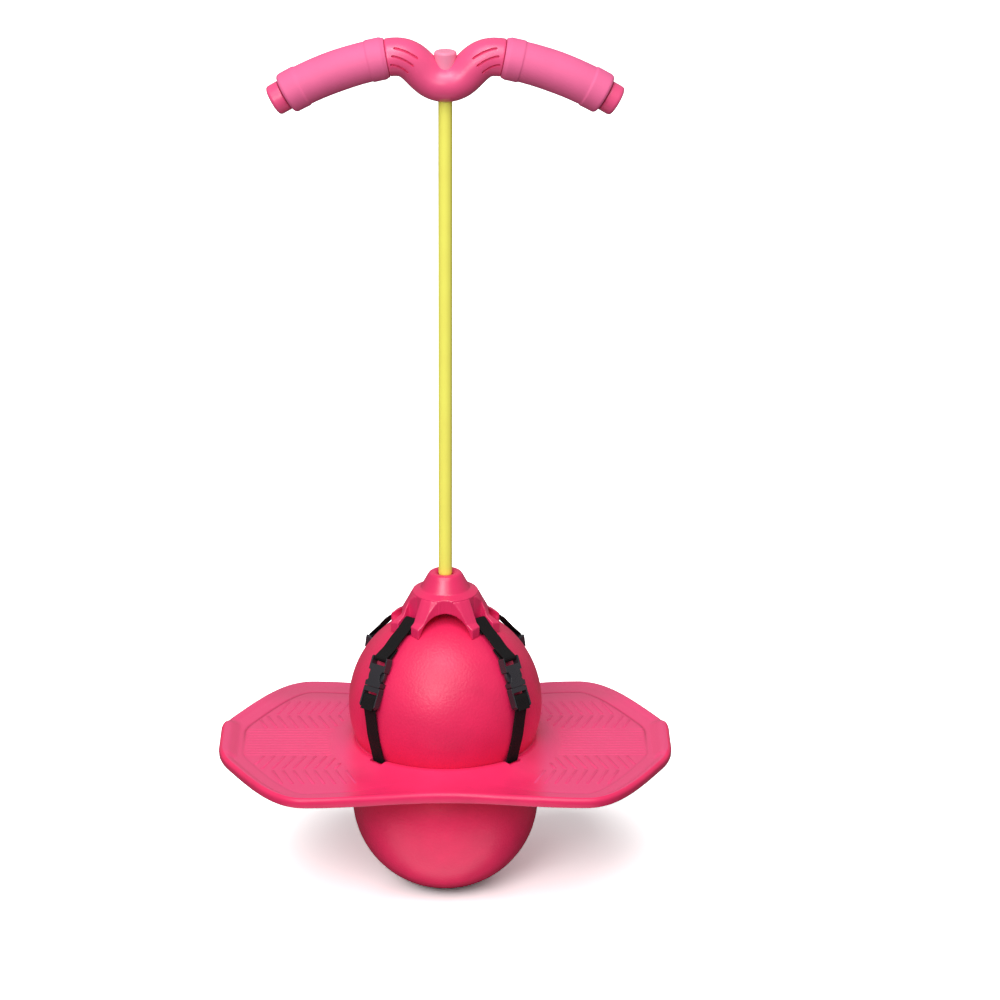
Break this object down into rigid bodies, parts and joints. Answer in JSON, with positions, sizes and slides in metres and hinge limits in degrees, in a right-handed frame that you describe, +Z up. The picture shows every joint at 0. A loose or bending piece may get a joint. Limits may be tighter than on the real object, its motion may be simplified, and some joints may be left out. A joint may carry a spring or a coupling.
{
  "type": "pogo ball",
  "caption": "Hopping toy: a two-lobed ball clamped in a lobed foot plate, with a strapped bracket on top and a rope up to a curved two-grip handle.",
  "frame": {"origin": "middle of the handle's saddle, on the rope's axis, where a hand holds it", "axes": "+Z up along the rope, +X to the right along the handle and the foot plate, -Y towards the front"},
  "size_m": [0.45, 0.302, 0.871],
  "materials": {
    "pink_plastic": "satin moulded plastic",
    "pale_plastic": "satin moulded plastic",
    "ball_rubber": "glossy soft vinyl",
    "grip_foam": "matt foam rubber",
    "rope_rubber": "smooth elastic sheath",
    "webbing": "woven webbing",
    "black_plastic": "satin moulded plastic",
    "steel": "plain steel"
  },
  "bodies": {
    "handle": {"handle_core": "pink_plastic", "left_grip": "grip_foam", "right_grip": "grip_foam", "left_end_plug": "pink_plastic", "right_end_plug": "pink_plastic"},
    "rope_top": {"rope_stop_cap": "pale_plastic", "upper_ferrule": "steel", "upper_washer": "steel", "rope_upper_end": "rope_rubber"},
    "rope": {"rope": "rope_rubber"},
    "base": {"ball": "ball_rubber", "ball_valve": "ball_rubber", "deck": "pink_plastic", "bracket": "pink_plastic", "rope_lower_end": "rope_rubber", "lower_washer": "steel", "lower_ferrule": "steel", "front_left_upper_strap": "webbing", "front_left_lower_strap": "webbing", "front_left_strap_pin": "steel", "front_left_buckle_socket": "black_plastic", "front_left_buckle_plug": "black_plastic", "front_right_upper_strap": "webbing", "front_right_lower_strap": "webbing", "front_right_strap_pin": "steel", "front_right_buckle_socket": "black_plastic", "front_right_buckle_plug": "black_plastic", "rear_left_upper_strap": "webbing", "rear_left_lower_strap": "webbing", "rear_left_strap_pin": "steel", "rear_left_buckle_socket": "black_plastic", "rear_left_buckle_plug": "black_plastic", "rear_right_upper_strap": "webbing", "rear_right_lower_strap": "webbing", "rear_right_strap_pin": "steel", "rear_right_buckle_socket": "black_plastic", "rear_right_buckle_plug": "black_plastic"},
    "front_left_inner_latch": {"front_left_inner_latch": "black_plastic"},
    "front_left_outer_latch": {"front_left_outer_latch": "black_plastic"},
    "front_right_inner_latch": {"front_right_inner_latch": "black_plastic"},
    "front_right_outer_latch": {"front_right_outer_latch": "black_plastic"},
    "rear_left_inner_latch": {"rear_left_inner_latch": "black_plastic"},
    "rear_left_outer_latch": {"rear_left_outer_latch": "black_plastic"},
    "rear_right_inner_latch": {"rear_right_inner_latch": "black_plastic"},
    "rear_right_outer_latch": {"rear_right_outer_latch": "black_plastic"}
  },
  "joints": [
    {"name": "handle_turn", "type": "hinge", "parent": "handle", "child": "rope_top", "pos_m": [0, 0, 0], "axis": [0, 0, 1], "range_deg": [-180, 180]},
    {"name": "rope_swing", "type": "hinge", "parent": "rope_top", "child": "rope", "pos_m": [0, 0, -0.0159], "axis": [0, 1, 0], "range_deg": [-45, 45]},
    {"name": "base_lean", "type": "hinge", "parent": "rope", "child": "base", "pos_m": [0, 0, -0.4909], "axis": [1, 0, 0], "range_deg": [-45, 45]},
    {"name": "front_left_inner_latch_squeeze", "type": "hinge", "parent": "base", "child": "front_left_inner_latch", "pos_m": [-0.06545, -0.06556, -0.58966], "axis": [-0.6808, -0.5878, 0.437], "range_deg": [0, 8], "stiffness_Nm_per_rad": 0.2},
    {"name": "front_left_outer_latch_squeeze", "type": "hinge", "parent": "base", "child": "front_left_outer_latch", "pos_m": [-0.07413, -0.05626, -0.59066], "axis": [0.6808, 0.5878, -0.437], "range_deg": [0, 8], "stiffness_Nm_per_rad": 0.2},
    {"name": "front_right_inner_latch_squeeze", "type": "hinge", "parent": "base", "child": "front_right_inner_latch", "pos_m": [0.06545, -0.06556, -0.58966], "axis": [-0.6808, 0.5878, -0.437], "range_deg": [0, 8], "stiffness_Nm_per_rad": 0.2},
    {"name": "front_right_outer_latch_squeeze", "type": "hinge", "parent": "base", "child": "front_right_outer_latch", "pos_m": [0.07413, -0.05626, -0.59066], "axis": [0.6808, -0.5878, 0.437], "range_deg": [0, 8], "stiffness_Nm_per_rad": 0.2},
    {"name": "rear_left_inner_latch_squeeze", "type": "hinge", "parent": "base", "child": "rear_left_inner_latch", "pos_m": [-0.06881, 0.07085, -0.6097], "axis": [0.7226, -0.6479, -0.2412], "range_deg": [0, 8], "stiffness_Nm_per_rad": 0.2},
    {"name": "rear_left_outer_latch_squeeze", "type": "hinge", "parent": "base", "child": "rear_left_outer_latch", "pos_m": [-0.07748, 0.06155, -0.6107], "axis": [-0.7226, 0.6479, 0.2412], "range_deg": [0, 8], "stiffness_Nm_per_rad": 0.2},
    {"name": "rear_right_inner_latch_squeeze", "type": "hinge", "parent": "base", "child": "rear_right_inner_latch", "pos_m": [0.06881, 0.07085, -0.6097], "axis": [0.7226, 0.6479, 0.2412], "range_deg": [0, 8], "stiffness_Nm_per_rad": 0.2},
    {"name": "rear_right_outer_latch_squeeze", "type": "hinge", "parent": "base", "child": "rear_right_outer_latch", "pos_m": [0.07748, 0.06155, -0.6107], "axis": [-0.7226, -0.6479, -0.2412], "range_deg": [0, 8], "stiffness_Nm_per_rad": 0.2}
  ],
  "couplings": [
    {"joint": "front_left_outer_latch_squeeze", "follows": "front_left_inner_latch_squeeze", "ratio": 1},
    {"joint": "front_right_outer_latch_squeeze", "follows": "front_right_inner_latch_squeeze", "ratio": 1},
    {"joint": "rear_left_outer_latch_squeeze", "follows": "rear_left_inner_latch_squeeze", "ratio": 1},
    {"joint": "rear_right_outer_latch_squeeze", "follows": "rear_right_inner_latch_squeeze", "ratio": 1}
  ]
}
